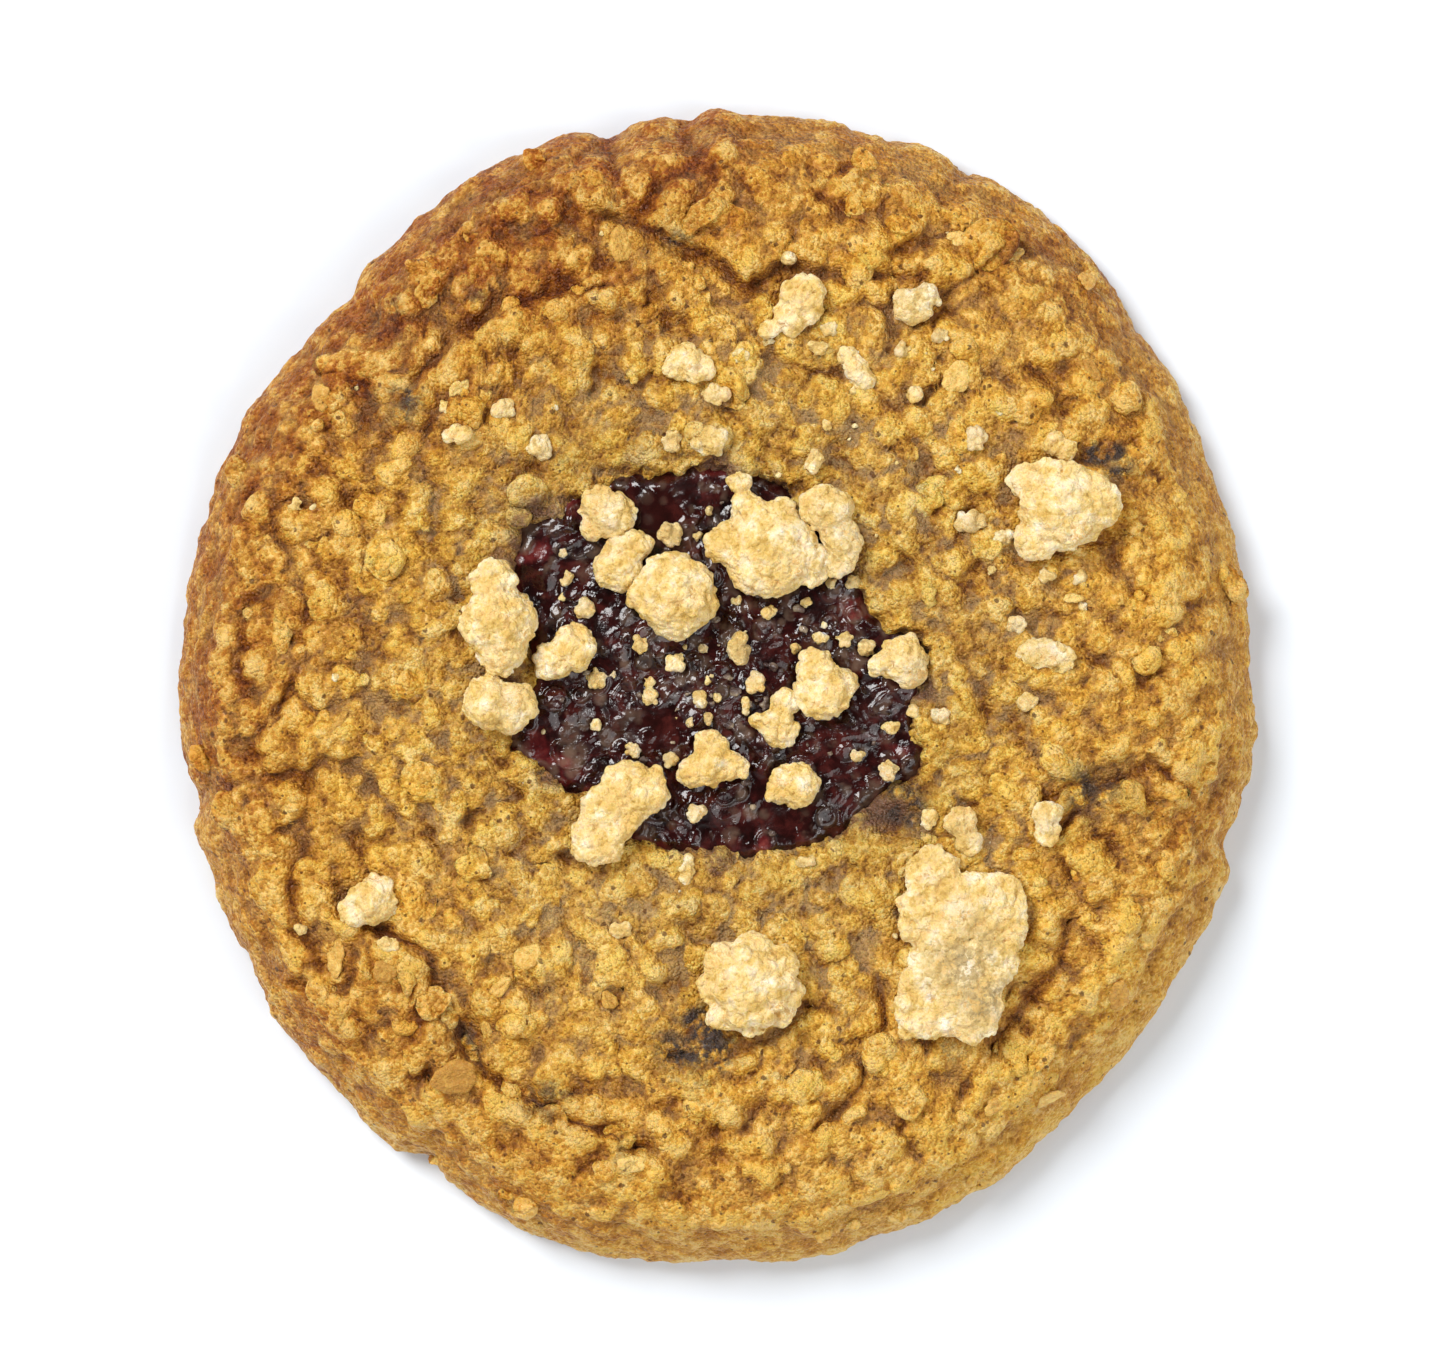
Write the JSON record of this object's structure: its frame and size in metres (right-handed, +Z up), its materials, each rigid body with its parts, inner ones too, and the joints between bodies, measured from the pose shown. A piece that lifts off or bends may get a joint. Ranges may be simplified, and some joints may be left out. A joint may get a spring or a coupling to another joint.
{
  "type": "oatmeal cookie",
  "caption": "Large round oatmeal cookie with a craggy golden top, a dark berry jam centre and pale crumble lumps scattered over it, lying flat.",
  "frame": {"origin": "middle of the flat underside, under the middle of the cookie's bounding box", "axes": "+Z up out of the jam centre; +X and +Y as the picture's right and top, seen from straight above; +Y is the slightly longer way across"},
  "size_m": [0.0968, 0.1035, 0.0168],
  "materials": {
    "dough": "golden brown baked oat dough, matte, browner towards the rim and in the folds",
    "jam": "very dark purple-red baked berry jam, glossy",
    "crumble": "pale cream butter crumble with lightly toasted patches, matte"
  },
  "bodies": {
    "root": {"cookie": "dough", "jam": "jam", "crumble_01": "crumble", "crumble_02": "crumble", "crumble_03": "crumble", "crumble_04": "crumble", "crumble_05": "crumble", "crumble_06": "crumble", "crumble_07": "crumble", "crumble_08": "crumble", "crumble_09": "crumble", "crumble_10": "crumble", "crumble_11": "crumble", "crumble_12": "crumble", "crumble_13": "crumble", "crumble_14": "crumble", "crumble_15": "crumble", "crumble_16": "crumble", "crumble_17": "crumble", "crumble_18": "crumble", "crumble_19": "crumble", "crumble_20": "crumble", "crumble_21": "crumble", "crumble_22": "crumble", "crumble_23": "crumble", "crumble_24": "crumble", "crumble_25": "crumble", "crumble_26": "crumble"}
  },
  "joints": []
}
